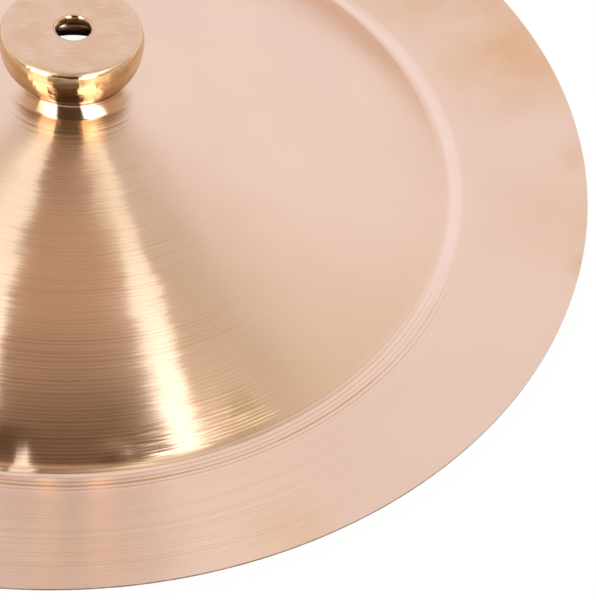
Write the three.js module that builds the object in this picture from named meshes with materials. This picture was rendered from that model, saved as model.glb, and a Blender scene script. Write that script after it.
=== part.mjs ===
// China cymbal, lying bell up on the ring of its bend.
// Millimetres, +Z up, origin on the axis in the plane that the cymbal rests on.
//
// The real cymbal is one bronze casting, hammered to shape and turned on a lathe, so the
// model is one closed solid of revolution. Its section runs from the stand hole over the
// flat-topped bell, in under the bell to a waist, down the bow to the bend and up the
// flange to the rim. The underside follows at the wall's depth, which thins to the rim.
import * as THREE from 'three';

// Rim and flange
const rimRadius = 203.2;
const rimHeight = 16.8;
const rimWall = 0.85;
const flangeAngle = 16;

// Bend, where the bow meets the flange, with the flat ring that the cymbal rests on
const bendRadius = 151.5;
const bendArcRadius = 9;
const bendWall = 0.95;
const restRingWidth = 1.6;

// Bow
const bowAngleAtBend = 24;
const footRadius = 27.4;
const footHeight = 42.1;
const footWall = 1.3;

// Lathe rings cut into the bow beside the bell's foot
const footRings = 2;
const footRingPitch = 2.2;
const footRingWidth = 0.9;
const footRingDepth = 0.2;

// Bell: a flat crown, a tight shoulder, a short leaning collar and a side that draws in
const bellHeight = 66;
const bellRadius = 26.7;
const shoulderRadius = 2.4;
const collarLean = 12;
const widestDrop = 4.8;
const bellDraw = 6.2;
const bellDepth = 13.8;
const bellSweep = 72;
const bellWall = 1.4;
const crownWall = 3;
const waistRadius = 21.2;

// Hole for the stand's rod
const holeRadius = 6.35;
const holeEdgeBreak = 0.6;

// Facets: round the axis, and along each stretch of the section over and under the metal
const turnSteps = 80;
const overSteps = { shoulder: 4, side: 7, waist: 4, flare: 4, bow: 8, bend: 2, flange: 4 };
const underSteps = { side: 5, waist: 3, flare: 3, bow: 5, bend: 1, flange: 3 };

const radians = THREE.MathUtils.degToRad;
const mix = THREE.MathUtils.lerp;
const straightDown = -Math.PI / 2;
const bronze = new THREE.MeshStandardMaterial({ color: 0xd8ac84, roughness: 0.3, metalness: 1 });

// A point of the section: x is the radius from the axis and y the height.
function point(radius, height) {
  return new THREE.Vector2(radius, height);
}

// An arc, or a part of an ellipse, about a centre. It runs clockwise where the angle falls.
function arc(centre, radiusX, radiusY, fromAngle, toAngle) {
  return new THREE.EllipseCurve(centre.x, centre.y, radiusX, radiusY, fromAngle, toAngle, toAngle < fromAngle);
}

// A parabola between two points, through the height that it would have half way along
// if it went straight on from the end whose slope is known.
function parabola(start, end, heightHalfWay) {
  return new THREE.QuadraticBezierCurve(start, point(mix(start.x, end.x, 0.5), heightHalfWay), end);
}

// A place on a curve of the upper face, moved square to it into the metal.
function under(curve, share, depth) {
  const place = curve.getPoint(share);
  const along = curve.getTangent(share);
  return point(place.x + along.y * depth, place.y - along.x * depth);
}

// Points along a curve without its first, at a depth that changes evenly along it.
function follow(curve, count, depthAtStart = 0, depthAtEnd = depthAtStart) {
  const points = [];
  for (let i = 1; i <= count; i += 1) {
    points.push(under(curve, i / count, mix(depthAtStart, depthAtEnd, i / count)));
  }
  return points;
}

// The bell's outline, from the crown's edge to the waist.
function makeBell() {
  const widestHeight = bellHeight - widestDrop;
  const lean = radians(collarLean);
  const shoulderEnd = bellHeight - shoulderRadius * (1 - Math.sin(lean));
  const collarTop = point(bellRadius - Math.tan(lean) * (shoulderEnd - widestHeight), shoulderEnd);
  const crownRadius = collarTop.x - shoulderRadius * Math.cos(lean);
  const shoulderCentre = point(crownRadius, bellHeight - shoulderRadius);
  const shoulder = arc(shoulderCentre, shoulderRadius, shoulderRadius, Math.PI / 2, lean);
  const collar = new THREE.LineCurve(collarTop, point(bellRadius, widestHeight));

  // Below its widest line the bell draws in as part of an ellipse.
  const sideCentre = point(bellRadius - bellDraw, widestHeight);
  const side = arc(sideCentre, bellDraw, bellDepth, 0, -radians(bellSweep));
  const sideEnd = side.getPoint(1);
  const sideTangent = side.getTangent(1);

  // The waist is an arc that turns the side from inward to straight down.
  const waistTurn = Math.atan2(-sideTangent.x, -sideTangent.y);
  const waistArcRadius = (sideEnd.x - waistRadius) / (1 - Math.cos(waistTurn));
  const waistHeight = sideEnd.y - waistArcRadius * Math.sin(waistTurn);
  const waistCentre = point(waistRadius + waistArcRadius, waistHeight);
  const waist = arc(waistCentre, waistArcRadius, waistArcRadius, Math.PI - waistTurn, Math.PI);
  return { crownRadius, shoulder, collar, side, waist };
}

// The bend is an arc on each side of its lowest line. Over the metal the two arcs meet,
// and under it they leave the flat resting ring between them, in the plane z = 0.
function makeBend() {
  const underRadius = bendArcRadius + bendWall;
  const restAngle = Math.asin(restRingWidth / 2 / underRadius);
  const centre = point(bendRadius, underRadius * Math.cos(restAngle));
  const start = straightDown - radians(bowAngleAtBend);
  const end = straightDown + radians(flangeAngle);
  return {
    inner: arc(centre, bendArcRadius, bendArcRadius, start, straightDown),
    outer: arc(centre, bendArcRadius, bendArcRadius, straightDown, end),
    underInner: arc(centre, underRadius, underRadius, start, straightDown - restAngle),
    underOuter: arc(centre, underRadius, underRadius, straightDown + restAngle, end),
  };
}

// The bow runs from the bell's foot to the bend, and meets the bend at the bend's own slope.
function makeBow(bend) {
  const start = point(footRadius, footHeight);
  const end = bend.inner.getPoint(0);
  const halfDrop = (Math.tan(radians(bowAngleAtBend)) * (end.x - start.x)) / 2;
  return parabola(start, end, end.y + halfDrop);
}

// The flange leaves the bend at the bend's own slope and turns up a little more to the rim.
function makeFlange(bend) {
  const start = bend.outer.getPoint(1);
  const halfRise = (Math.tan(radians(flangeAngle)) * (rimRadius - start.x)) / 2;
  return parabola(start, point(rimRadius, rimHeight), start.y + halfRise);
}

// The flare leaves the waist straight down and runs out into the bow's own slope.
function makeFlare(bell, bow) {
  const start = bell.waist.getPoint(1);
  const along = bow.getTangent(0);
  const cornerHeight = footHeight - (along.y / along.x) * (footRadius - waistRadius);
  return new THREE.QuadraticBezierCurve(start, point(waistRadius, cornerHeight), bow.getPoint(0));
}

// The bow's upper face, with the lathe rings cut into it beside the foot.
function followRingedBow(bow) {
  const length = bow.getPoint(1).x - footRadius;
  const points = [];
  for (let i = 1; i <= footRings; i += 1) {
    const middle = footRingPitch * i;
    points.push(under(bow, (middle - footRingWidth / 2) / length, 0));
    points.push(under(bow, middle / length, footRingDepth));
    points.push(under(bow, (middle + footRingWidth / 2) / length, 0));
  }
  const ringedShare = (footRingPitch * (footRings + 1)) / length;
  for (let i = 0; i <= overSteps.bow; i += 1) {
    points.push(bow.getPoint(mix(ringedShare, 1, i / overSteps.bow)));
  }
  return points;
}

// The rim's edge is turned upright: the last point under the metal is brought in to it.
function squareToRim(points) {
  const [before, last] = points.slice(-2);
  const share = (rimRadius - before.x) / (last.x - before.x);
  return [...points.slice(0, -1), point(rimRadius, mix(before.y, last.y, share))];
}

// The whole section, once round: over the metal to the rim and back underneath.
function makeSection() {
  const bell = makeBell();
  const bend = makeBend();
  const bow = makeBow(bend);
  const flange = makeFlange(bend);
  const flare = makeFlare(bell, bow);
  const over = [
    point(holeRadius, bellHeight - holeEdgeBreak),
    point(holeRadius + holeEdgeBreak, bellHeight),
    point(bell.crownRadius, bellHeight),
    ...follow(bell.shoulder, overSteps.shoulder),
    bell.collar.getPoint(1),
    ...follow(bell.side, overSteps.side),
    ...follow(bell.waist, overSteps.waist),
    ...follow(flare, overSteps.flare),
    ...followRingedBow(bow),
    ...follow(bend.inner, overSteps.bend),
    ...follow(bend.outer, overSteps.bend),
    ...follow(flange, overSteps.flange),
  ];

  // The crown's flat underside meets the inner wall under the collar in a plain corner.
  const crownUnder = bellHeight - crownWall;
  const innerRadius = under(bell.collar, 1, bellWall).x;
  const beneath = [
    point(holeRadius, crownUnder),
    point(innerRadius, crownUnder),
    ...follow(bell.side, underSteps.side, bellWall),
    ...follow(bell.waist, underSteps.waist, bellWall),
    ...follow(flare, underSteps.flare, bellWall, footWall),
    ...follow(bow, underSteps.bow, footWall, bendWall),
    ...follow(bend.underInner, underSteps.bend),
    bend.underOuter.getPoint(0),
    ...follow(bend.underOuter, underSteps.bend),
    ...follow(flange, underSteps.flange, bendWall, rimWall),
  ];
  return [...over, ...squareToRim(beneath).reverse(), over[0]];
}

// The section turned round the axis. A lathe turns about Y, so the solid is tipped onto +Z.
function makeCymbal() {
  const geometry = new THREE.LatheGeometry(makeSection().reverse(), turnSteps);
  geometry.rotateX(Math.PI / 2);
  const mesh = new THREE.Mesh(geometry, bronze);
  mesh.name = 'cymbal';
  return mesh;
}

const cymbal = new THREE.Group();
cymbal.add(makeCymbal());

export default cymbal;
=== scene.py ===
# %% [markdown]
# # A china cymbal of turned bronze
#
# A china cymbal is one disc of cast bronze. It is hammered into a flat-topped bell, a
# cone-shaped bow and a flange that turns up at the rim, and then it is turned on a lathe,
# which leaves fine rings all over it. The bell is buffed bright afterwards, and felt washers
# rub its crown.
#
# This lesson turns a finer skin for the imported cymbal, gives it its finishes, and lights it
# in a small studio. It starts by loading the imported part, because everything stays in its
# frame: metres, +Z up, with the origin on the axis in the plane that the bend rests on.

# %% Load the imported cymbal
import math

import bpy
from mathutils import Matrix, Vector


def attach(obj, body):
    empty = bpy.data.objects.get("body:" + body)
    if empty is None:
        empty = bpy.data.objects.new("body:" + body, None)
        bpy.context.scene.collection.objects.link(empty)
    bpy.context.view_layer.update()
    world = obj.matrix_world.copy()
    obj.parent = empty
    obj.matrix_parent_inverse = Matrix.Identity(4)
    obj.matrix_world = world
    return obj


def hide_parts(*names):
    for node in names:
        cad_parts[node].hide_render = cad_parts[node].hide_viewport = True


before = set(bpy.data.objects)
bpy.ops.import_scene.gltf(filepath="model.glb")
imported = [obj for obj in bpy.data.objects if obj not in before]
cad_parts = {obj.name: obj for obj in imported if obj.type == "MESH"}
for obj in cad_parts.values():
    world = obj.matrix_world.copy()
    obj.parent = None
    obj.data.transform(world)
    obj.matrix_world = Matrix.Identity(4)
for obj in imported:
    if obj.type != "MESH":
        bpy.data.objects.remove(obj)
bpy.context.view_layer.update()

# %% [markdown]
# ## The camera
#
# The photograph is a close view from in front and above, cut off at the left and the top.
# A camera for it is found from circles: the rim, the bend and the hole are all round and lie
# on one axis, so only one place and one lens show them as the ellipses of the photograph.
# The lens is long, and the camera looks past the cymbal's middle to its front right part.

# %% Place the camera
RIM_RADIUS = 0.2032
RIM_PLANE = 0.01635
CAMERA_DISTANCE = 2.973 * RIM_RADIUS
CAMERA_HEIGHT_ANGLE = math.radians(44.41)
PAN, TILT, ROLL = math.radians(-8.29), math.radians(-6.61), math.radians(0.16)
LENS, SENSOR_HEIGHT = 90.9, 36
NEAREST, FARTHEST = 0.01, 20


def make_camera():
    """Aim at the middle of the rim, then pan, tilt and roll as the photographer did."""
    lift = math.sin(CAMERA_HEIGHT_ANGLE)
    place = Vector((0, -math.cos(CAMERA_HEIGHT_ANGLE), lift)) * CAMERA_DISTANCE
    ahead, right = -place.normalized(), Vector((1, 0, 0))
    up = right.cross(ahead)
    pan = Matrix.Rotation(PAN, 3, up)
    ahead, right = pan @ ahead, pan @ right
    tilt = Matrix.Rotation(TILT, 3, right)
    ahead, up = tilt @ ahead, tilt @ up
    roll = Matrix.Rotation(ROLL, 3, ahead)
    right, up = roll @ right, roll @ up
    lens = bpy.data.cameras.new("camera")
    lens.sensor_fit, lens.sensor_height, lens.lens = "VERTICAL", SENSOR_HEIGHT, LENS
    lens.clip_start, lens.clip_end = NEAREST, FARTHEST
    camera = bpy.data.objects.new("camera", lens)
    turn = Matrix((right, up, -ahead)).transposed().to_4x4()
    camera.matrix_world = Matrix.Translation(place + Vector((0, 0, RIM_PLANE))) @ turn
    bpy.context.scene.collection.objects.link(camera)
    return camera


camera = make_camera()
bpy.context.scene.camera = camera
print("camera at", [round(v, 4) for v in camera.location])

# %% [markdown]
# ## The section
#
# A turned sheet is drawn as half of its cross section. The upper line runs from the hole
# over the crown, round a tight shoulder, down the leaning collar, in under the bell to the
# waist, out along the neck into the bow, through the bend and up the flange. The lower line
# follows it at the depth of the wall, which thins from the crown to the rim. The sizes are in
# millimetres here, because a maker measures them so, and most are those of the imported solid.
# The points stand much closer than there, since this skin carries the reflections. It also
# follows the photograph more closely in four places: the neck is a fuller cone that ends in a
# crisp corner, the bell's side is a little less deep, the hole's edge is rounded, and the two
# rings at the bell's foot are little more than scratches.

# %% Sizes of the section, in millimetres
BELL_HEIGHT, BELL_RADIUS = 66.0, 26.7
SHOULDER_RADIUS, COLLAR_LEAN, WIDEST_DROP = 2.4, math.radians(12), 4.8
BELL_DRAW, BELL_DEPTH, BELL_SWEEP = 6.2, 12.8, math.radians(72)
WAIST_RADIUS, BELL_WALL, CROWN_WALL = 21.2, 1.4, 3.0
NECK_FOOT, NECK_ANGLE = 24.6, math.radians(42)
HOLE_RADIUS, LIP, LIP_DEPTH, HOLE_DARK_LINE = 6.35, 0.85, 1.4, 0.12
FOOT_RADIUS, FOOT_HEIGHT, FOOT_WALL = 27.4, 42.1, 1.3
BOW_ANGLE, FLANGE_ANGLE = math.radians(24), math.radians(16)
BEND_RADIUS, BEND_ARC, BEND_WALL, REST_WIDTH = 151.5, 9.0, 0.95, 1.6
RIM, RIM_HEIGHT, RIM_WALL = 203.2, 16.8, 0.85
RINGS, RING_PITCH, RING_WIDTH, RING_DEPTH = 2, 2.2, 0.9, 0.02

# How many steps each stretch of the upper side gets. The lower side gets only a share of them.
LIP_STEPS, CROWN_STEPS, SHOULDER_STEPS, SIDE_STEPS, WAIST_STEPS = 8, 6, 10, 20, 10
NECK_STEPS, FOOT_STEPS, BOW_STEPS, INNER_STEPS, OUTER_STEPS, FLANGE_STEPS = 14, 4, 110, 10, 7, 40
BELL_SHARE, BOW_SHARE, REST_INNER_STEPS, REST_OUTER_STEPS = 0.5, 0.25, 4, 3
# The buffing wheel reaches this far up the lip, and the felts this far round the shoulder.
LIP_BUFFED, SHOULDER_RUBBED = 6, 6
print("the cymbal is", 2 * RIM, "mm across and", BELL_HEIGHT, "mm high")


# %% Curves that a section is made of
def point(radius, height):
    return Vector((radius, height))


def arc(centre, wide, high, start, end, count):
    """Points on an arc, both ends included, with the direction of travel at each."""
    found = []
    for i in range(count + 1):
        a = start + (end - start) * i / count
        place = centre + point(wide * math.cos(a), high * math.sin(a))
        along = point(-wide * math.sin(a), high * math.cos(a)) * (1 if end > start else -1)
        found.append((place, along.normalized()))
    return found


def even(count):
    """Shares from 0 to 1 in that many equal steps."""
    return [i / count for i in range(count + 1)]


def bezier(start, middle, end, shares):
    """Points on a parabola that leaves start towards middle and arrives at end from it."""
    found = []
    for t in shares:
        place = start * (1 - t) ** 2 + middle * 2 * t * (1 - t) + end * t * t
        along = (middle - start) * (1 - t) + (end - middle) * t
        found.append((place, along.normalized()))
    return found


def under(stretch, depth_start, depth_end):
    """The same stretch on the lower side of the wall."""
    last = len(stretch) - 1
    found = []
    for i, (place, along) in enumerate(stretch):
        depth = depth_start + (depth_end - depth_start) * i / last
        found.append((place + point(along.y, -along.x) * depth, along))
    return found


print("four even steps:", even(4))


# %% The bell's stretches
def bell_stretches(fine):
    """Shoulder, collar, side and waist. fine is the share of its steps that a stretch gets."""
    widest = BELL_HEIGHT - WIDEST_DROP
    shoulder_end = BELL_HEIGHT - SHOULDER_RADIUS * (1 - math.sin(COLLAR_LEAN))
    collar_x = BELL_RADIUS - math.tan(COLLAR_LEAN) * (shoulder_end - widest)
    crown_x = collar_x - SHOULDER_RADIUS * math.cos(COLLAR_LEAN)
    top = point(crown_x, BELL_HEIGHT - SHOULDER_RADIUS)
    steps = round(SHOULDER_STEPS * fine)
    shoulder = arc(top, SHOULDER_RADIUS, SHOULDER_RADIUS, math.pi / 2, COLLAR_LEAN, steps)
    side_centre = point(BELL_RADIUS - BELL_DRAW, widest)
    side = arc(side_centre, BELL_DRAW, BELL_DEPTH, 0, -BELL_SWEEP, round(SIDE_STEPS * fine))
    place, along = side[-1]
    turn = math.atan2(-along.x, -along.y)
    radius = (place.x - WAIST_RADIUS) / (1 - math.cos(turn))
    centre = point(WAIST_RADIUS + radius, place.y - radius * math.sin(turn))
    waist = arc(centre, radius, radius, math.pi - turn, math.pi, round(WAIST_STEPS * fine))
    return crown_x, shoulder, side, waist


print("the flat crown ends at radius", round(bell_stretches(1)[0], 2), "mm")


# %% The stretches of the bow, the bend and the flange
def bend_arc(radius, start, end, count):
    """An arc about the bend's centre, from straight down plus start to straight down plus end."""
    lower = BEND_ARC + BEND_WALL
    centre = point(BEND_RADIUS, math.sqrt(lower**2 - (REST_WIDTH / 2) ** 2))
    down = -math.pi / 2
    return arc(centre, radius, radius, down + start, down + end, count)


def bow_and_flange(fine):
    """Bow, both halves of the bend, and flange, each with its direction of travel."""
    inner = bend_arc(BEND_ARC, -BOW_ANGLE, 0, round(INNER_STEPS * fine))
    outer = bend_arc(BEND_ARC, 0, FLANGE_ANGLE, round(OUTER_STEPS * fine))
    foot, start = point(FOOT_RADIUS, FOOT_HEIGHT), inner[0][0]
    half = (start.x - foot.x) / 2
    middle = point(foot.x + half, start.y + math.tan(BOW_ANGLE) * half)
    bow = bezier(foot, middle, start, even(round(BOW_STEPS * fine)))
    if fine == 1:
        bow = cut_rings(foot, middle, start)
    end, rim = outer[-1][0], point(RIM, RIM_HEIGHT)
    half = (rim.x - end.x) / 2
    middle = point(end.x + half, end.y + math.tan(FLANGE_ANGLE) * half)
    flange = bezier(end, middle, rim, even(round(FLANGE_STEPS * fine)))
    return bow, inner, outer, flange


def cut_rings(foot, middle, end):
    """The bow's upper side with the lathe rings beside the bell's foot."""
    length, half = end.x - foot.x, RING_WIDTH / 2
    centres = [RING_PITCH * (i + 1) for i in range(RINGS)]
    close = [(c + half * k / 3) / length for c in centres for k in range(-3, 4)]
    last = (centres[-1] + RING_PITCH / 2) / length
    beyond = [last + (1 - last) * share for share in even(BOW_STEPS - RINGS)]
    found = []
    for place, along in bezier(foot, middle, end, sorted([0.0, *close, *beyond])):
        away = min(abs(place.x - foot.x - c) for c in centres) / half
        depth = RING_DEPTH * max(0.0, 1 - away)
        found.append((place + point(along.y, -along.x) * depth, along))
    return found


def neck_from(waist, bow, fine):
    """From straight down at the waist round to a crisp corner on the line of the bow."""
    start = waist[-1][0]
    foot, along = bow[0]
    corner = point(NECK_FOOT, foot.y - along.y / along.x * (foot.x - NECK_FOOT))
    middle = point(start.x, corner.y + math.tan(NECK_ANGLE) * (corner.x - start.x))
    neck = bezier(start, middle, corner, even(round(NECK_STEPS * fine)))
    return neck + [(corner.lerp(foot, share), along) for share in even(FOOT_STEPS)[1:]]


print("bow, bend and flange have", [len(stretch) for stretch in bow_and_flange(1)], "points")


# %% Join the stretches into one closed section
def upper_rows():
    """The upper side from the hole to the rim. A row's finish is that of the faces after it."""
    bow, inner, outer, flange = bow_and_flange(1)
    crown_x, shoulder, side, waist = bell_stretches(1)
    neck = neck_from(waist, bow, 1)
    lip_centre = point(HOLE_RADIUS + LIP, BELL_HEIGHT - LIP_DEPTH)
    lip = arc(lip_centre, LIP, LIP_DEPTH, math.pi, math.pi / 2, LIP_STEPS)
    rows = [(place, "buffed" if i < LIP_BUFFED else "crown") for i, (place, _) in enumerate(lip)]
    # A thin dark line runs round the hole.
    rows[-1] = (rows[-1][0], "edge")
    crown_from = HOLE_RADIUS + LIP + HOLE_DARK_LINE
    for share in even(CROWN_STEPS):
        x = crown_from + (crown_x - crown_from) * share
        rows.append((point(x, BELL_HEIGHT), "crown"))
    rows += [(place, "crown") for place, _ in shoulder[1:SHOULDER_RUBBED]]
    neck_height = waist[-1][0].y
    rest_of_bell = (shoulder[SHOULDER_RUBBED:], side, waist[1:])
    for stretch in (*rest_of_bell, neck[1:], bow[1:], inner[1:], outer[1:], flange[1:]):
        rows += [(place, "buffed" if place.y > neck_height else "lathed") for place, _ in stretch]
    rows[-1] = (rows[-1][0], "edge")
    return rows


def lower_rows():
    """The lower side from the rim back to the hole."""
    bow, _, _, flange = bow_and_flange(BOW_SHARE)
    _, _, side, waist = bell_stretches(BELL_SHARE)
    neck = neck_from(waist, bow, BELL_SHARE)
    lower = BEND_ARC + BEND_WALL
    rest = math.asin(REST_WIDTH / 2 / lower)
    beneath = [
        *under(side, BELL_WALL, BELL_WALL),
        *under(waist, BELL_WALL, BELL_WALL)[1:],
        *under(neck, BELL_WALL, FOOT_WALL)[1:],
        *under(bow, FOOT_WALL, BEND_WALL)[1:],
        *bend_arc(lower, -BOW_ANGLE, -rest, REST_INNER_STEPS)[1:],
        *bend_arc(lower, rest, FLANGE_ANGLE, REST_OUTER_STEPS),
        *under(flange, BEND_WALL, RIM_WALL)[1:],
    ]
    places = [place for place, _ in beneath]
    before, last = places[-2:]
    places[-1] = before.lerp(last, (RIM - before.x) / (last.x - before.x))
    crown_under = BELL_HEIGHT - CROWN_WALL
    places = [point(HOLE_RADIUS, crown_under), point(places[0].x, crown_under), *places]
    rows = [(place, "lathed") for place in reversed(places)]
    # The last row starts the hole's wall, which is buffed like the lip above it.
    rows[-1] = (rows[-1][0], "buffed")
    return rows


section = upper_rows() + lower_rows()
print("section:", len(section), "points")

# %% [markdown]
# ## Turning the section with Geometry Nodes
#
# A lathe has one rule: every point of the section goes round the axis. A screw modifier
# would do that, but a node tree can do more on the way. It lays a flat grid with one row
# for each point of the section and one column for each step of the turn, and sends every
# corner of the grid to its place round the axis. The grid's faces come out of this pointing
# inwards, so the tree flips them. It keeps the length along the section as an attribute,
# which the lathe lines in the finish follow, and a UV map, which tells the shader which way
# the lines run. It also adds what the hand leaves: shallow hammer waves in the bow and the
# flange, three uneven places just inside the bend, and a bell that sits a little off the axis.

# %% Put the section's points into a mesh with their finish and length
FINISHES = ["lathed", "buffed", "crown", "edge"]


def section_object(rows):
    mesh = bpy.data.meshes.new("section")
    mesh.from_pydata([(p.x / 1000, 0, p.y / 1000) for p, _ in rows], [], [])
    lengths, before = [0.0], rows[0][0]
    for place, _ in rows[1:]:
        lengths.append(lengths[-1] + (place - before).length / 1000)
        before = place
    mesh.attributes.new("row along", "FLOAT", "POINT").data.foreach_set("value", lengths)
    numbers = [FINISHES.index(name) for _, name in rows]
    mesh.attributes.new("row finish", "INT", "POINT").data.foreach_set("value", numbers)
    obj = bpy.data.objects.new("cymbal_skin", mesh)
    bpy.context.scene.collection.objects.link(obj)
    print("the section is", round(lengths[-1] * 1000, 1), "mm long")
    return obj


skin = section_object(section)


# %% Small helpers for building node trees
def add(tree, kind, settings=None, **inputs):
    """A node of that kind, with settings as properties and inputs by name or number."""
    node = tree.nodes.new(kind)
    for name, value in (settings or {}).items():
        setattr(node, name, value)
    for name, value in inputs.items():
        key = int(name[1:]) if name[0] == "i" and name[1:].isdigit() else name.replace("_", " ")
        feed(tree, node.inputs[key], value)
    return node


def feed(tree, socket, value):
    """Link a socket to a socket, or write a plain value into it."""
    if isinstance(value, bpy.types.NodeSocket):
        tree.links.new(value, socket)
    else:
        socket.default_value = value


def ask(tree, name, kind, value=None, out=False):
    """A named socket on the tree's interface."""
    way = "OUTPUT" if out else "INPUT"
    socket = tree.interface.new_socket(name, in_out=way, socket_type="NodeSocket" + kind)
    if value is not None:
        socket.default_value = value


def ask_numbers(tree, **values):
    """Number inputs on the tree's interface, each with its usual value."""
    for name, value in values.items():
        ask(tree, name.replace("_", " "), "Float", value)


def give(tree, **values):
    """End a node group: each value goes to the output of that name."""
    out = add(tree, "NodeGroupOutput")
    for name, value in values.items():
        tree.links.new(value, out.inputs[name])


print("helpers: add, feed, ask, ask_numbers, give")


# %% Helpers for sums in node trees
def sum_up(tree, operation, a, b=0.0, c=None):
    """One Math node, given by its operation."""
    node = add(tree, "ShaderNodeMath", {"operation": operation}, i0=a, i1=b)
    if c is not None:
        feed(tree, node.inputs[2], c)
    return node.outputs[0]


def times(tree, *shares):
    """All the shares multiplied together."""
    product = shares[0]
    for share in shares[1:]:
        product = sum_up(tree, "MULTIPLY", product, share)
    return product


def grow(tree, value, by, start):
    """start plus the value times by."""
    return sum_up(tree, "MULTIPLY_ADD", value, by, start)


def off(tree, value, middle):
    """How far the value is from the middle, on either side."""
    return sum_up(tree, "ABSOLUTE", sum_up(tree, "SUBTRACT", value, middle))


def whole(tree, operation, a, b):
    """A Math node on whole numbers."""
    return add(tree, "FunctionNodeIntegerMath", {"operation": operation}, i0=a, i1=b).outputs[0]


def vector(tree, operation, a, b=(0, 0, 0), **scale):
    """One Vector Math node. Its outputs are a vector and a value."""
    return add(tree, "ShaderNodeVectorMath", {"operation": operation}, i0=a, i1=b, **scale).outputs


def ramp(tree, value, start, end):
    """0 at start, 1 at end, and smooth between them."""
    settings = {"interpolation_type": "SMOOTHSTEP"}
    return add(tree, "ShaderNodeMapRange", settings, Value=value, i1=start, i2=end).outputs[0]


def slide(tree, value, start, end, low=0.0, high=1.0):
    """low at start, high at end, and even between them."""
    levels = {"i1": start, "i2": end, "i3": low, "i4": high}
    return add(tree, "ShaderNodeMapRange", None, Value=value, **levels).outputs[0]


def spot(tree, level, angle, ring, size):
    """A soft round spot at an angle from the front and a distance from the axis."""
    middle = (ring * math.sin(math.radians(angle)), -ring * math.cos(math.radians(angle)), 0)
    return ramp(tree, vector(tree, "DISTANCE", level, middle)["Value"], size, 0.0)


def spots(tree, level, places):
    """The strongest of several spots, each with its angle, ring, size and strength."""
    strongest = 0.0
    for angle, ring, size, strength in places:
        share = times(tree, spot(tree, level, angle, ring, size), strength)
        strongest = sum_up(tree, "MAXIMUM", strongest, share)
    return strongest


print("helpers for sums, ramps and spots are ready")


# %% Turn the grid round the axis
WELD_DISTANCE = 1e-7


def row_value(tree, section, kind, value, index):
    """A value of the section, read at one of its points."""
    settings = {"data_type": kind, "domain": "POINT"}
    node = add(tree, "GeometryNodeSampleIndex", settings, Geometry=section, Value=value, Index=index)
    return node.outputs[0]


def named(tree, kind, name):
    """A named attribute of the mesh."""
    return add(tree, "GeometryNodeInputNamedAttribute", {"data_type": kind}, Name=name).outputs[0]


def store(tree, geometry, name, value, kind, domain):
    """Keep a value on the mesh under a name."""
    settings = {"data_type": kind, "domain": domain}
    inputs = {"Geometry": geometry, "Name": name, "Value": value}
    return add(tree, "GeometryNodeStoreNamedAttribute", settings, **inputs).outputs[0]


def turn_the_grid(tree, given):
    """A grid of rows by steps, sent round the axis and closed on itself."""
    section = given["Geometry"]
    counts = add(tree, "GeometryNodeAttributeDomainSize", {"component": "MESH"}, Geometry=section)
    rows = counts.outputs["Point Count"]
    row_corners = whole(tree, "ADD", rows, 1)
    step_corners = whole(tree, "ADD", given["Turn Steps"], 1)
    corners = {"i2": step_corners, "i3": row_corners}
    grid = add(tree, "GeometryNodeMeshGrid", None, i0=1.0, i1=1.0, **corners)
    index = add(tree, "GeometryNodeInputIndex").outputs[0]
    corner_row = whole(tree, "MODULO", whole(tree, "MODULO", index, row_corners), rows)
    step = whole(tree, "DIVIDE", index, row_corners)
    angle = sum_up(tree, "DIVIDE", times(tree, step, math.tau), given["Turn Steps"])

    places = add(tree, "GeometryNodeInputPosition").outputs[0]
    flat = row_value(tree, section, "FLOAT_VECTOR", places, corner_row)
    settings = {"rotation_type": "Z_AXIS"}
    round_axis = add(tree, "ShaderNodeVectorRotate", settings, Vector=flat, Angle=angle).outputs[0]
    kept = store(tree, grid.outputs["Mesh"], "turning", grid.outputs["UV Map"], "FLOAT2", "CORNER")
    length = row_value(tree, section, "FLOAT", named(tree, "FLOAT", "row along"), corner_row)
    kept = store(tree, kept, "along", length, "FLOAT", "POINT")
    face_row = whole(tree, "MODULO", index, rows)
    finish = row_value(tree, section, "INT", named(tree, "INT", "row finish"), face_row)
    kept = store(tree, kept, "finish", finish, "INT", "FACE")
    placed = add(tree, "GeometryNodeSetPosition", None, Geometry=kept, Position=round_axis).outputs[0]
    outwards = add(tree, "GeometryNodeFlipFaces", None, Mesh=placed).outputs[0]
    inputs = {"Geometry": outwards, "Distance": WELD_DISTANCE}
    return add(tree, "GeometryNodeMergeByDistance", None, **inputs).outputs[0]


print("corners closer than", WELD_DISTANCE, "m become one")

# %% What the hand leaves
# Uneven places just inside the bend: angle from the front, distance from the axis, size, rise.
DENTS = [(-9.7, 0.1465, 0.0115, -4.2), (4.4, 0.1455, 0.006, 1.5), (21.5, 0.1440, 0.0055, -1.0)]

# Hammer waves grow over these distances from the bend, and from the axis.
OFF_THE_BEND, OFF_THE_FOOT = (0.002, 0.014), (0.03, 0.055)
# The bell's shift grows over these heights, and over these distances from the axis.
SHIFT_HEIGHTS, SHIFT_RADII = (0.0455, 0.053), (0.012, 0.02)


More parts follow.
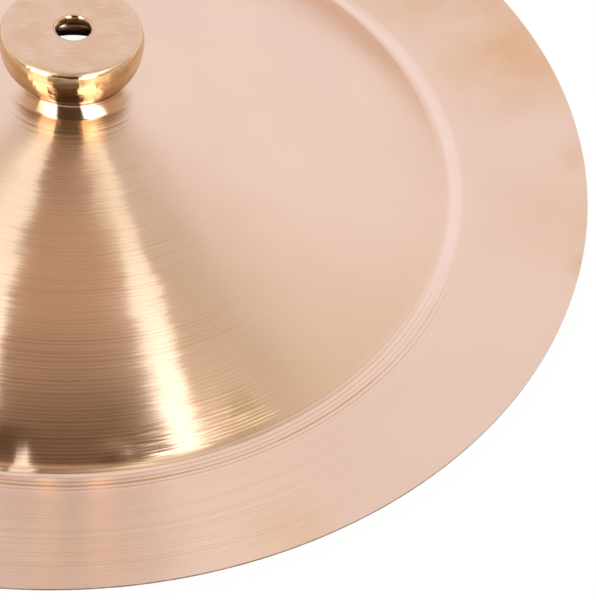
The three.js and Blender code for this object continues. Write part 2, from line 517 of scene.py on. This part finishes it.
def leave_hand_marks(tree, given, turned):
    """Hammer waves, dents that stop where they reach the floor, and the bell's small shift."""
    place = add(tree, "GeometryNodeInputPosition").outputs[0]
    across, depth, height = add(tree, "ShaderNodeSeparateXYZ", None, Vector=place).outputs[:3]
    level = add(tree, "ShaderNodeCombineXYZ", None, X=across, Y=depth).outputs[0]
    radius = vector(tree, "LENGTH", level)["Value"]
    seeded = add(tree, "ShaderNodeCombineXYZ", None, X=across, Y=depth, Z=given["Seed"]).outputs[0]
    scale = sum_up(tree, "DIVIDE", 1.0, given["Hammer Size"])
    settings = {"noise_dimensions": "3D"}
    noise = add(tree, "ShaderNodeTexNoise", settings, Vector=seeded, Scale=scale, Detail=1.0)
    wave = sum_up(tree, "SUBTRACT", noise.outputs[0], 0.5)
    off_bend = ramp(tree, off(tree, radius, BEND_RADIUS / 1000), *OFF_THE_BEND)
    fade = times(tree, ramp(tree, radius, *OFF_THE_FOOT), off_bend)
    lift = times(tree, wave, given["Hammer Depth"], fade)
    for angle, ring, size, rise in DENTS:
        dent = times(tree, spot(tree, level, angle, ring, size), given["Dent Depth"])
        lift = grow(tree, dent, rise, lift)
    lift = sum_up(tree, "MAXIMUM", lift, times(tree, height, -1.0))
    up = add(tree, "ShaderNodeCombineXYZ", None, Z=lift).outputs[0]
    bell = times(tree, ramp(tree, height, *SHIFT_HEIGHTS), ramp(tree, radius, *SHIFT_RADII))
    side = vector(tree, "SCALE", given["Bell Shift"], Scale=bell)[0]
    both = vector(tree, "ADD", up, side)[0]
    return add(tree, "GeometryNodeSetPosition", None, Geometry=turned, Offset=both).outputs[0]


print("uneven places just inside the bend:", len(DENTS))

# %% The whole tree that turns the section
SHARPEST_SMOOTH_EDGE = math.radians(35)


def hand_out_finishes(tree, given, shaped):
    """Smooth shading, crisp edges, and one material for each finish."""
    faces = add(tree, "GeometryNodeSetShadeSmooth", {"domain": "FACE"}, Geometry=shaped).outputs[0]
    corner = add(tree, "GeometryNodeInputMeshEdgeAngle").outputs[0]
    settings = {"operation": "LESS_THAN"}
    soft = add(tree, "FunctionNodeCompare", settings, i0=corner, i1=SHARPEST_SMOOTH_EDGE).outputs[0]
    inputs = {"Geometry": faces, "Shade_Smooth": soft}
    smooth = add(tree, "GeometryNodeSetShadeSmooth", {"domain": "EDGE"}, **inputs).outputs[0]
    done = add(tree, "GeometryNodeRealizeInstances", None, Geometry=smooth).outputs[0]
    finish = named(tree, "INT", "finish")
    for i, name in enumerate(FINISHES):
        node = add(tree, "GeometryNodeSetMaterial", None, Geometry=done)
        tree.links.new(given[name.title() + " Finish"], node.inputs["Material"])
        if i > 0:
            settings = {"data_type": "INT", "operation": "EQUAL"}
            chosen = add(tree, "FunctionNodeCompare", settings, i2=finish, i3=i).outputs[0]
            tree.links.new(chosen, node.inputs["Selection"])
        done = node.outputs[0]
    return done


def turning_tree():
    tree = bpy.data.node_groups.new("Turn a section", "GeometryNodeTree")
    ask(tree, "Geometry", "Geometry")
    ask(tree, "Geometry", "Geometry", out=True)
    ask(tree, "Turn Steps", "Int", 288)
    ask_numbers(tree, Hammer_Size=0.03, Hammer_Depth=0.00006, Dent_Depth=0.0001)
    ask(tree, "Bell Shift", "Vector", (0, 0, 0))
    ask(tree, "Seed", "Float", 0.0)
    for name in FINISHES:
        ask(tree, name.title() + " Finish", "Material")
    given = add(tree, "NodeGroupInput").outputs
    shaped = leave_hand_marks(tree, given, turn_the_grid(tree, given))
    give(tree, Geometry=hand_out_finishes(tree, given, shaped))
    return tree


tree = turning_tree()
print("the turning tree has", len(tree.nodes), "nodes")

# %% [markdown]
# ## What the finishes share
#
# Everything here is one metal, so its four finishes differ in what touched it last: the
# lathe's tool, the buffing wheel, the felt washers, or the shears that cut the edge. Three
# effects serve more than one finish, so each is a node group with its own inputs: the turning
# lines, whose height drives the bump and whose mask tints the grooves, the warm patches that
# fingers and heat leave on bronze, and the wobble. A lathe's tool is held by hand, so each
# ring leans a little its own way. That is far too shallow to model, yet it frays the edges of
# every bright bar, so it tilts the normal along the ring.

# %% Turning lines, as a node group
DRIFT_SCALE, DRIFT, WAVE_SHARE = 0.12, 14.0, 0.2
GROOVE_FROM, GROOVE_FULL = 0.5, 0.25


def here(tree):
    """The place on the object that is being shaded."""
    return add(tree, "ShaderNodeTexCoord").outputs["Object"]


def place_on_rings(group, pitch, spread):
    """A place for noise that changes quickly across the rings and slowly along them."""
    along = add(group, "ShaderNodeAttribute", {"attribute_name": "along"}).outputs["Fac"]
    place = here(group)
    way = vector(group, "NORMALIZE", vector(group, "MULTIPLY", place, (1, 1, 0))[0])[0]
    way = vector(group, "SCALE", way, Scale=spread)[0]
    x, y = add(group, "ShaderNodeSeparateXYZ", None, Vector=way).outputs[:2]
    count = sum_up(group, "DIVIDE", along, pitch)
    return add(group, "ShaderNodeCombineXYZ", None, X=count, Y=x, Z=y).outputs[0], count


def noise_at(group, place, seed, scale=1.0, detail=2.0):
    """Noise with a seed, from about 0 to 1."""
    inputs = {"Vector": place, "W": seed, "Scale": scale, "Detail": detail}
    return add(group, "ShaderNodeTexNoise", {"noise_dimensions": "4D"}, **inputs).outputs[0]


def turning_lines():
    group = bpy.data.node_groups.new("Turning lines", "ShaderNodeTree")
    ask_numbers(group, Pitch=0.0012, Wander=0.6, Evenness=1.0, Seed=0.0)
    ask(group, "Height", "Float", out=True)
    ask(group, "Groove", "Float", out=True)
    given = add(group, "NodeGroupInput").outputs
    place, count = place_on_rings(group, given["Pitch"], given["Wander"])
    drift = times(group, noise_at(group, place, given["Seed"], DRIFT_SCALE, 0.0), DRIFT)
    wave = sum_up(group, "SINE", grow(group, count, math.tau, drift))
    share = times(group, given["Evenness"], WAVE_SHARE)
    height = grow(group, wave, share, noise_at(group, place, given["Seed"]))
    give(group, Height=height, Groove=slide(group, height, GROOVE_FROM, GROOVE_FULL))
    return group


LINES = turning_lines()
print("node group:", LINES.name, "with", len(LINES.nodes), "nodes")


# %% Warm patches, as a node group
def warm_patches():
    group = bpy.data.node_groups.new("Warm patches", "ShaderNodeTree")
    ask_numbers(group, Size=0.03, Start=0.5, End=0.7, Seed=0.0)
    ask(group, "Patch", "Float", out=True)
    given = add(group, "NodeGroupInput").outputs
    place = here(group)
    scale = sum_up(group, "DIVIDE", 1.0, given["Size"])
    noise = noise_at(group, place, given["Seed"], scale)
    give(group, Patch=ramp(group, noise, given["Start"], given["End"]))
    return group


PATCHES = warm_patches()
print("node group:", PATCHES.name, "with", len(PATCHES.nodes), "nodes")

# %% The tool's wobble, as a node group
FINE_SPREAD, BROAD_SPREAD = 8.0, 5.0


def lean_of_rings(group, given, kind, spread):
    """How far each ring leans, from one of the two pitches and its amount."""
    place, _ = place_on_rings(group, given[kind + " Pitch"], spread)
    lean = sum_up(group, "SUBTRACT", noise_at(group, place, given["Seed"]), 0.5)
    return times(group, lean, given[kind + " Amount"])


def lathe_wobble():
    group = bpy.data.node_groups.new("Lathe wobble", "ShaderNodeTree")
    ask_numbers(group, Fine_Pitch=0.0015, Fine_Amount=0.012)
    ask_numbers(group, Broad_Pitch=0.014, Broad_Amount=0.02, Seed=0.0)
    ask(group, "Normal", "Vector", out=True)
    given = add(group, "NodeGroupInput").outputs
    fine = lean_of_rings(group, given, "Fine", FINE_SPREAD)
    broad = lean_of_rings(group, given, "Broad", BROAD_SPREAD)
    lean = sum_up(group, "ADD", fine, broad)
    place = here(group)
    ring = vector(group, "NORMALIZE", vector(group, "CROSS_PRODUCT", (0, 0, 1), place)[0])[0]
    tilt = vector(group, "SCALE", ring, Scale=lean)[0]
    normal = add(group, "ShaderNodeNewGeometry").outputs["Normal"]
    leant = vector(group, "ADD", normal, tilt)[0]
    give(group, Normal=vector(group, "NORMALIZE", leant)[0])
    return group


WOBBLE = lathe_wobble()
print("node group:", WOBBLE.name, "with", len(WOBBLE.nodes), "nodes")


# %% Helpers for materials
def new_material(name):
    material = bpy.data.materials.new(name)
    material.use_nodes = True
    tree = material.node_tree
    tree.nodes.clear()
    shader = add(tree, "ShaderNodeBsdfPrincipled")
    out = add(tree, "ShaderNodeOutputMaterial")
    tree.links.new(shader.outputs[0], out.inputs["Surface"])
    return material, tree, shader


def set_plain(shader, **values):
    """Values that are the same all over, written on the shader's own sockets."""
    for name, value in values.items():
        shader.inputs[name.replace("_", " ")].default_value = value


def use(tree, group, **values):
    """Place a node group with its own values."""
    node = tree.nodes.new("ShaderNodeGroup")
    node.node_tree = group
    for name, value in values.items():
        feed(tree, node.inputs[name.replace("_", " ")], value)
    return node.outputs


def blend(tree, share, a, b):
    """Mix two colours by a share."""
    return add(tree, "ShaderNodeMix", {"data_type": "RGBA"}, i0=share, i6=a, i7=b).outputs[2]


def raise_by(tree, shader, height, distance, **normal):
    """Bump the shader's normal by a height, on top of a normal where one is given."""
    bump = add(tree, "ShaderNodeBump", None, Strength=1.0, Distance=distance, Height=height, **normal)
    feed(tree, shader.inputs["Normal"], bump.outputs[0])


def follow_the_turning(tree, shader):
    """Lay the shader's tangent along the section, so that bright bars point at the middle."""
    tangent = add(tree, "ShaderNodeTangent", {"direction_type": "UV_MAP", "uv_map": "turning"})
    feed(tree, shader.inputs["Tangent"], tangent.outputs[0])
    set_plain(shader, Metallic=1.0, Anisotropic=1.0, Anisotropic_Rotation=0.25)


print("helpers for materials are ready")

# %% [markdown]
# ## Lathed bronze
#
# The neck, the bow and the flange show the lathe's rings. Along a ring the metal is nearly a
# mirror, and across the rings it is rough, so a lamp becomes a bright bar that points at the
# middle. That is anisotropy, and it needs a tangent, which the UV map gives. The metal isn't
# one colour: it is cream with soft rosy clouds, golden in soft spots on the flange, and brown
# in the grooves. Some colour is painted light: painted shade just inside the bend, a painted
# highlight along the bend away from the front, a painted highlight at the bell's foot in front,
# and painted shade on the sides of the neck. Masks made from the distance to the axis and the
# angle from the front say where each tint goes. The rings at the bend are broader and more even
# than the others, and beside the main bright bar the tool chattered, so the lines there are
# deeper and lean more.

# %% Colours of the lathed bronze, and where they lie
CREAM = (0.85, 0.62, 0.475, 1)
ROSE = (0.82, 0.58, 0.455, 1)
SHADE_TAN = (0.78, 0.545, 0.385, 1)
GOLD = (0.76, 0.45, 0.25, 1)
PALE = (0.92, 0.7, 0.58, 1)
BROWN = (0.6, 0.38, 0.22, 1)
OLIVE = (0.42, 0.3, 0.14, 1)
NECK_SHADE = (0.58, 0.32, 0.17, 1)
FOOT_HIGHLIGHT = (0.95, 0.84, 0.68, 1)

# Soft spots: angle from the front, distance from the axis, size, strength.
WARM_SPOTS = [
    (104, 0.2, 0.055, 0.95), (120, 0.184, 0.035, 0.6), (20, 0.197, 0.024, 0.4), (68, 0.205, 0.012, 0.8),
    (0, 0.196, 0.028, 0.28), (76, 0.202, 0.05, 0.35), (84, 0.204, 0.02, 0.5), (114, 0.195, 0.03, 0.7),
]
OLIVE_SPOTS = [(22.5, 0.1425, 0.014, 0.55)]
CHATTER_SPOTS = [(24, 0.1475, 0.026, 1.0), (9, 0.1485, 0.014, 1.0)]

# Distances from the axis: where a tint or a line starts and where it is full, or its middle.
BEND_SHADE_STARTS, BEND_SHADE_ENDS = (0.118, 0.146), (0.1515, 0.1495)
FOOT_HIGHLIGHT_RADII, NECK_SHADE_RADII = (0.034, 0.028), (0.0256, 0.0244)
BEND_HIGHLIGHT_LINE, BEND_HIGHLIGHT_WIDTH = 0.1534, (0.0038, 0.001)
SCRIBED_LINE, SCRIBED_WIDTH = 0.1568, (0.0006, 0.0001)
BEND_RINGS, BEND_RINGS_WIDTH = 0.1548, (0.0065, 0.0045)

# The front half by its distance, then shares of the way round from the side to the front.
FRONT_HALF, AHEAD, BESIDE = (-0.045, -0.125), (-0.83, -0.96), (-0.35, -0.85)
print("warm spots:", len(WARM_SPOTS))


# %% Lathed bronze
def lathed_masks(tree, radius, from_front):
    """Shares from 0 to 1 that say where on the cymbal a place lies."""
    front = ramp(tree, from_front, *FRONT_HALF)
    near_bend = times(tree, ramp(tree, off(tree, radius, BEND_RINGS), *BEND_RINGS_WIDTH), front)
    turned = sum_up(tree, "DIVIDE", from_front, radius)
    ahead = ramp(tree, turned, *AHEAD)
    beside = times(tree, ramp(tree, turned, *BESIDE), sum_up(tree, "SUBTRACT", 1.0, ahead))
    return near_bend, front, ahead, beside


def bronze_tints(tree, level, radius, front, ahead, beside):
    """Cream, clouds, golden and olive spots, and painted shade and highlights at bend, foot and neck."""
    cloud = use(tree, PATCHES, Size=0.045, Start=0.35, End=0.68, Seed=11.0)["Patch"]
    colour = blend(tree, times(tree, cloud, 0.6), CREAM, ROSE)
    # Painted shade: a darker tan just inside the bend, where the bend's valley is in shade.
    painted_bend_shade = times(tree, ramp(tree, radius, *BEND_SHADE_STARTS), ramp(tree, radius, *BEND_SHADE_ENDS), 0.4)
    colour = blend(tree, painted_bend_shade, colour, SHADE_TAN)
    # Painted highlight: a pale line along the bend, stronger away from the front.
    painted_bend_highlight = ramp(tree, off(tree, radius, BEND_HIGHLIGHT_LINE), *BEND_HIGHLIGHT_WIDTH)
    colour = blend(tree, times(tree, grow(tree, front, -0.8, 0.8), painted_bend_highlight), colour, PALE)
    uneven = use(tree, PATCHES, Size=0.02, Start=0.3, End=0.65, Seed=3.0)["Patch"]
    warm = times(tree, spots(tree, level, WARM_SPOTS), grow(tree, uneven, 0.5, 0.5))
    colour = blend(tree, warm, colour, GOLD)
    colour = blend(tree, times(tree, spots(tree, level, OLIVE_SPOTS), uneven), colour, OLIVE)
    # Painted highlight: the bow is paler at the bell's foot, in front only.
    foot = times(tree, ramp(tree, radius, *FOOT_HIGHLIGHT_RADII), ahead, 0.8)
    colour = blend(tree, foot, colour, FOOT_HIGHLIGHT)
    # Painted shade: the neck is browner at its sides.
    neck = times(tree, ramp(tree, radius, *NECK_SHADE_RADII), beside)
    return blend(tree, neck, colour, NECK_SHADE)


def groove_share(tree, radius, groove, ring_groove, near_bend, front, ahead):
    """How brown the grooves are, with a scribed line outside the bend."""
    share = times(tree, groove, grow(tree, ahead, 0.22, 0.02))
    share = grow(tree, times(tree, ring_groove, near_bend), 0.5, share)
    broken = use(tree, PATCHES, Size=0.03, Start=0.45, End=0.6, Seed=17.0)["Patch"]
    scribed = ramp(tree, off(tree, radius, SCRIBED_LINE), *SCRIBED_WIDTH)
    return sum_up(tree, "ADD", share, times(tree, scribed, broken, 0.6, front))


def lathed_bronze():
    material, tree, shader = new_material("lathed_bronze")
    place = here(tree)
    level = vector(tree, "MULTIPLY", place, (1, 1, 0))[0]
    radius = vector(tree, "LENGTH", level)["Value"]
    from_front = add(tree, "ShaderNodeSeparateXYZ", None, Vector=place).outputs["Y"]
    near_bend, front, ahead, beside = lathed_masks(tree, radius, from_front)
    lines = use(tree, LINES, Pitch=0.0014, Wander=0.5, Evenness=0.5, Seed=1.0)
    rings = use(tree, LINES, Pitch=0.0017, Wander=0.3, Evenness=1.5, Seed=4.0)
    colour = bronze_tints(tree, level, radius, front, ahead, beside)
    brown = groove_share(tree, radius, lines["Groove"], rings["Groove"], near_bend, front, ahead)
    feed(tree, shader.inputs["Base Color"], blend(tree, brown, colour, BROWN))

    chatter = spots(tree, level, CHATTER_SPOTS)
    depth = grow(tree, chatter, 3.0, slide(tree, radius, 0.158, 0.165, 1.3, 0.15))
    height = times(tree, lines["Height"], depth)
    height = grow(tree, rings["Height"], times(tree, near_bend, 3.0), height)
    fine = grow(tree, chatter, 0.19, 0.024)
    wobble = use(tree, WOBBLE, Fine_Pitch=0.0009, Fine_Amount=fine, Broad_Amount=0.025, Seed=6.0)
    raise_by(tree, shader, height, 0.00002, Normal=wobble["Normal"])
    feed(tree, shader.inputs["Roughness"], slide(tree, radius, 0.152, 0.165, 0.16, 0.27))
    follow_the_turning(tree, shader)
    return material


finishes = {"lathed": lathed_bronze()}
print("finish:", finishes["lathed"].name)

# %% [markdown]
# ## Buffed bronze
#
# The bell's side and the lip of the hole were pressed against a buffing wheel. That takes the
# tool's rings almost away and leaves a bright, yellower metal, with a slightly lumpy surface
# that breaks up what it mirrors. It is made like the lathed finish, with finer lines, more
# wobble and broad soft lumps. From the widest part down the bell gets browner, which is
# painted shade under the bell's overhang.

# %% Buffed bronze
BUFFED = (0.79, 0.56, 0.33, 1)
BUFFED_SHADE = (0.46, 0.26, 0.13, 1)
BUFFED_GROOVE = (0.45, 0.27, 0.12, 1)
OVERHANG_SHADE_HEIGHTS = (0.0605, 0.054)


def buffed_bronze():
    material, tree, shader = new_material("buffed_bronze")
    fine = use(tree, LINES, Pitch=0.0009, Wander=0.4, Evenness=0.5, Seed=9.0)
    place = here(tree)
    height = add(tree, "ShaderNodeSeparateXYZ", None, Vector=place).outputs["Z"]
    # Painted shade: browner from the widest part of the bell down, under its overhang.
    colour = blend(tree, ramp(tree, height, *OVERHANG_SHADE_HEIGHTS), BUFFED, BUFFED_SHADE)
    colour = blend(tree, times(tree, fine["Groove"], 0.4), colour, BUFFED_GROOVE)
    feed(tree, shader.inputs["Base Color"], colour)
    wobble = use(tree, WOBBLE, Fine_Pitch=0.0008, Fine_Amount=0.06, Broad_Amount=0.04)["Normal"]
    lumps = use(tree, PATCHES, Size=0.007, Start=0.0, End=1.0, Seed=21.0)["Patch"]
    raise_by(tree, shader, grow(tree, lumps, 20.0, fine["Height"]), 0.00002, Normal=wobble)
    follow_the_turning(tree, shader)
    set_plain(shader, Roughness=0.17)
    return material


finishes["buffed"] = buffed_bronze()
print("finish:", finishes["buffed"].name)

# %% [markdown]
# ## The rubbed crown
#
# Felt washers press on the flat top and turn under the drummer's strokes, which rubs it every
# way. So it has no bright bars, only a soft sheen with short pale and brown scratches and
# faint clouds. The scratches are noise that is stretched far more one way than the other.

# %% The crown, rubbed by felts
RUBBED = (0.7, 0.45, 0.29, 1)
CLOUDED = (0.78, 0.54, 0.39, 1)
SCRATCH_SCALE, SCRATCH_PLACE = (160, 2600, 1), (7, 3, 0)


def rubbed_crown():
    material, tree, shader = new_material("rubbed_crown")
    cloud = use(tree, PATCHES, Size=0.009, Start=0.3, End=0.65, Seed=14.0)["Patch"]
    colour = blend(tree, grow(tree, cloud, 0.7, 0.2), RUBBED, CLOUDED)
    place = here(tree)
    stretched = add(tree, "ShaderNodeMapping", None, Vector=place, Scale=SCRATCH_SCALE).outputs[0]
    stretched = vector(tree, "ADD", stretched, SCRATCH_PLACE)[0]
    noise = add(tree, "ShaderNodeTexNoise", None, Vector=stretched, Scale=1.0, Detail=3.0).outputs[0]
    colour = blend(tree, times(tree, ramp(tree, noise, 0.58, 0.68), 0.6), colour, PALE)
    colour = blend(tree, times(tree, ramp(tree, noise, 0.4, 0.3), 0.4), colour, BROWN)
    feed(tree, shader.inputs["Base Color"], colour)
    raise_by(tree, shader, grow(tree, cloud, 6.0, noise), 0.00003)
    set_plain(shader, Metallic=1.0, Roughness=0.3)
    return material


finishes["crown"] = rubbed_crown()
print("finish:", finishes["crown"].name)

# %% [markdown]
# ## The cut edge
#
# The rim is sheared and never polished, so its thin edge is dull and dark, with a little
# brighter metal where it has been knocked. The same finish serves for the thin dark line round
# the hole. It needs no lines, only patches between two dark colours.

# %% The cut edge of the rim
EDGE_DARK, EDGE_WORN = (0.22, 0.15, 0.1, 1), (0.42, 0.3, 0.2, 1)


def cut_edge():
    material, tree, shader = new_material("cut_edge")
    worn = use(tree, PATCHES, Size=0.004, Start=0.35, End=0.7, Seed=2.0)["Patch"]
    feed(tree, shader.inputs["Base Color"], blend(tree, worn, EDGE_DARK, EDGE_WORN))
    set_plain(shader, Metallic=1.0, Roughness=0.5)
    return material


finishes["edge"] = cut_edge()
print("finishes:", ", ".join(finishes))

# %% [markdown]
# ## The skin
#
# The tree is put on the section as a modifier, with its inputs set before it is first worked
# out, and the result is kept as a plain mesh, because the export reads only plain meshes.
# 292 steps round the axis keep the rim smooth in a close view and the mesh under 200,000
# triangles. The metal's volume is measured at the end, because it comes out negative for a
# mesh that is inside out, and a render needn't show that.


# %% Turn the skin and make it a plain mesh
def turn_skin(obj, tree, values):
    modifier = obj.modifiers.new("turn", "NODES")
    modifier.node_group = tree
    for item in tree.interface.items_tree:
        if item.in_out == "INPUT" and item.name in values:
            modifier[item.identifier] = values[item.name]
    bpy.context.view_layer.update()
    ready = obj.evaluated_get(bpy.context.evaluated_depsgraph_get())
    mesh = bpy.data.meshes.new_from_object(ready)
    obj.modifiers.remove(modifier)
    obj.data = mesh
    mesh.name = "cymbal_skin"
    if mesh.materials[0] is None:
        mesh.materials.pop(index=0)
    return mesh


values = {
    "Turn Steps": 292,
    "Hammer Size": 0.035,
    "Hammer Depth": 0.0004,
    "Dent Depth": 0.00018,
    "Bell Shift": (-0.0006, 0, 0),
    "Seed": 4.0,
}
values.update({name.title() + " Finish": material for name, material in finishes.items()})
mesh = turn_skin(skin, tree, values)
print("skin:", len(mesh.vertices), "points,", sum(len(p.vertices) - 2 for p in mesh.polygons), "triangles")
print("materials on it:", [m.name for m in mesh.materials])


# %% Measure the metal and put the skin in the solid's place
def volume_inside(mesh):
    """The metal's volume, which is negative where a mesh is inside out."""
    mesh.calc_loop_triangles()
    places = [v.co for v in mesh.vertices]
    corners = [[places[i] for i in t.vertices] for t in mesh.loop_triangles]
    return sum(a.dot(b.cross(c)) for a, b, c in corners) / 6


print("metal in the skin:", round(volume_inside(mesh) * 1e6, 1), "cubic centimetres")

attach(skin, "root")
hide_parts("cymbal")

# %% [markdown]
# ## The floor
#
# The floor is pale, and to the camera it looks nearly white, with a faint shadow. Light Path
# tells the material which ray asks: the camera's rays and those that metal or glass mirrors
# or lets through see white, and the rays that light the cymbal see plain pale grey. The metal
# doesn't see white where the cymbal covers the floor, so the hollow inside the bell is dark.

# %% The floor
FLOOR_HALF = 3.0
FLOOR_GREY = (0.8, 0.8, 0.8, 1)
WHITE_STRENGTH, WHITE_SHARE = 1.01, 0.96
COVERED = (0.148, 0.152)


def make_floor():
    mesh = bpy.data.meshes.new("floor")
    h = FLOOR_HALF
    mesh.from_pydata([(-h, -h, 0), (h, -h, 0), (h, h, 0), (-h, h, 0)], [], [(0, 1, 2, 3)])
    floor = bpy.data.objects.new("floor", mesh)
    bpy.context.scene.collection.objects.link(floor)
    material, tree, shader = new_material("pale_floor")
    set_plain(shader, Base_Color=FLOOR_GREY, Roughness=0.9, Specular_IOR_Level=0)
    white = add(tree, "ShaderNodeEmission", None, Color=(1, 1, 1, 1), Strength=WHITE_STRENGTH)
    light = add(tree, "ShaderNodeLightPath").outputs
    place = here(tree)
    outside = ramp(tree, vector(tree, "LENGTH", place)["Value"], *COVERED)
    mirrored = times(tree, light["Is Glossy Ray"], outside)
    seen = sum_up(tree, "MAXIMUM", light["Is Camera Ray"], mirrored)
    seen = sum_up(tree, "MAXIMUM", seen, light["Is Transmission Ray"])
    share = times(tree, seen, WHITE_SHARE)
    mix = add(tree, "ShaderNodeMixShader", None, i0=share, i1=shader.outputs[0], i2=white.outputs[0])
    out = next(n for n in tree.nodes if n.type == "OUTPUT_MATERIAL")
    tree.links.new(mix.outputs[0], out.inputs["Surface"])
    mesh.materials.append(material)
    return floor


floor = make_floor()
print("floor:", [round(v, 1) for v in floor.dimensions], "m")

# %% [markdown]
# ## The room
#
# Metal shows the room, so the room is part of the finish. Cymbals are photographed in a plain
# white tent. Its roof is open over the camera in a gap that widens to the front, a soft strip
# of light runs along each edge of the gap, and a soft box stands at the front end of each
# strip. On the bow and the bell each strip and box becomes a bright bar, and the gap the dark
# bar between them. Beside the gap the tent is in brown shade, and low down in front it is
# brown too. The room is far away beside a cymbal, so it is drawn by direction in the world's
# shader, which is simpler than hanging lamps and has less noise.

# %% Colours of the room, and the gap's edges
WALL = (1.0, 1.0, 1.07, 1)
SHADE_NEAR = (0.52, 0.43, 0.29, 1)
SHADE_FAR = (0.88, 0.82, 0.73, 1)
STRIP_RIGHT = (0.99, 0.97, 0.82, 1)
STRIP_LEFT = (1.1, 1.09, 0.96, 1)
STRIP_END = (1.6, 1.55, 1.45, 1)
HOT = (1.95, 1.95, 1.9, 1)
BOX = (4.6, 4.5, 4.3, 1)
LOW = (0.48, 0.38, 0.29, 1)
GAP_FRONT = (0.075, 0.036, 0.014, 1)
GAP_DARK = (0.13, 0.09, 0.06, 1)
GAP_LIT = (0.69, 0.5, 0.36, 1)

# Each edge of the gap: its distance overhead, how it leans behind, and how it leans in front.
GAP_RIGHT, GAP_LEFT = (0.17, 0.25, -0.1), (0.205, 0.27, 0.42)
FRONT_FROM = 0.25


def soft_step(tree, value, middle, width):
    """0 well below the middle and 1 well above it, or the other way for a negative width."""
    return ramp(tree, value, middle - width / 2, middle + width / 2)


def side_distance(tree, across, back, edge, lean, lean_ahead):
    """How far a direction lies outside one edge of the gap, which leans away to the front."""
    ahead = sum_up(tree, "MINIMUM", sum_up(tree, "ADD", back, FRONT_FROM), 0.0)
    edge = grow(tree, back, -lean, edge)
    edge = grow(tree, ahead, lean - lean_ahead, edge)
    return sum_up(tree, "SUBTRACT", across, edge)


print("the gap is", round(GAP_RIGHT[0] + GAP_LEFT[0], 3), "wide overhead")


# %% The tent's walls, strips, boxes and gap
def tent_walls(tree, back, up, right, left, ends):
    """White behind, shade in front and beside the strips, and brown low down in front."""
    outside = sum_up(tree, "MAXIMUM", right, left)
    shade = blend(tree, ramp(tree, outside, 0.08, 0.48), SHADE_NEAR, SHADE_FAR)
    colour = blend(tree, ramp(tree, back, -0.1, 0.55), shade, WALL)
    beside = times(tree, ramp(tree, outside, 0.3, 0.06), ramp(tree, back, 0.22, 0.36), ends, 0.75)
    colour = blend(tree, beside, colour, SHADE_NEAR)
    low = times(tree, ramp(tree, up, 0.45, 0.2), ramp(tree, back, 0.2, -0.1))
    return blend(tree, low, colour, LOW)


def lay_strip(tree, colour, back, strip, plain):
    """A strip of light over the walls, hotter in front and paler at its back end."""
    level = blend(tree, ramp(tree, back, 0.1, -0.1), plain, HOT)
    level = blend(tree, ramp(tree, back, 0.33, 0.42), level, STRIP_END)
    return blend(tree, strip, colour, level)


def right_strip_edges(tree, back, right):
    """The right strip reaches a little into the gap, and it narrows towards both ends."""
    pinch = grow(tree, ramp(tree, back, 0.03, 0.3), 0.036, 0.003)
    pinch = grow(tree, ramp(tree, back, -0.15, -0.08), 0.021, pinch)
    width = grow(tree, ramp(tree, back, 0.05, 0.35), -0.05, 0.078)
    width = grow(tree, ramp(tree, back, -0.08, -0.18), -0.009, width)
    return sum_up(tree, "ADD", right, pinch), sum_up(tree, "SUBTRACT", right, width)


def tent_colour(tree):
    """The tent's colour in a direction: how far it points to the right, back and up."""
    way = add(tree, "ShaderNodeTexCoord").outputs["Generated"]
    across, back, up = add(tree, "ShaderNodeSeparateXYZ", None, Vector=way).outputs[:3]
    right = side_distance(tree, across, back, *GAP_RIGHT)
    left = side_distance(tree, times(tree, across, -1.0), back, *GAP_LEFT)
    ends = ramp(tree, back, 0.56, 0.42)
    colour = tent_walls(tree, back, up, right, left, ends)

    inner, outer = right_strip_edges(tree, back, right)
    strip = times(tree, soft_step(tree, inner, 0.0, 0.016), soft_step(tree, outer, 0.0, -0.02), ends)
    colour = lay_strip(tree, colour, back, strip, STRIP_RIGHT)
    width = grow(tree, ramp(tree, back, 0.24, 0.36), -0.16, 0.24)
    outer = soft_step(tree, sum_up(tree, "SUBTRACT", left, width), 0.0, -0.06)
    strip = times(tree, soft_step(tree, left, -0.005, 0.045), outer, ends)
    colour = lay_strip(tree, colour, back, strip, STRIP_LEFT)

    boxes = times(tree, soft_step(tree, right, 0.045, 0.03), soft_step(tree, right, 0.4, -0.05))
    other = times(tree, soft_step(tree, left, 0.06, 0.03), soft_step(tree, left, 0.5, -0.06))
    boxes = times(tree, sum_up(tree, "MAXIMUM", boxes, other), ramp(tree, back, -0.28, -0.38))
    colour = blend(tree, boxes, colour, BOX)

    gap = times(tree, soft_step(tree, inner, 0.0, -0.016), soft_step(tree, left, -0.005, -0.045))
    lit = times(tree, ramp(tree, back, -0.17, -0.04), ramp(tree, back, 0.36, 0.16))
    dark = blend(tree, ramp(tree, back, -0.3, -0.4), GAP_DARK, GAP_FRONT)
    colour = blend(tree, gap, colour, blend(tree, lit, dark, GAP_LIT))
    return blend(tree, ramp(tree, up, 0.0, -0.05), colour, FLOOR_GREY)


def make_room():
    world = bpy.data.worlds.new("room")
    world.use_nodes = True
    bpy.context.scene.world = world
    tree = world.node_tree
    tree.nodes.clear()
    room = add(tree, "ShaderNodeBackground", None, Color=tent_colour(tree), Strength=1.0)
    white = add(tree, "ShaderNodeBackground", None, Color=(1, 1, 1, 1), Strength=1.0)
    camera_ray = add(tree, "ShaderNodeLightPath").outputs["Is Camera Ray"]
    mix = add(tree, "ShaderNodeMixShader", None, i0=camera_ray, i1=room.outputs[0], i2=white.outputs[0])
    out = add(tree, "ShaderNodeOutputWorld")
    tree.links.new(mix.outputs[0], out.inputs["Surface"])
    return world


room = make_room()
print("room:", room.name, "with", len(room.node_tree.nodes), "nodes")

# %% View settings
bpy.context.scene.view_settings.view_transform = "Standard"
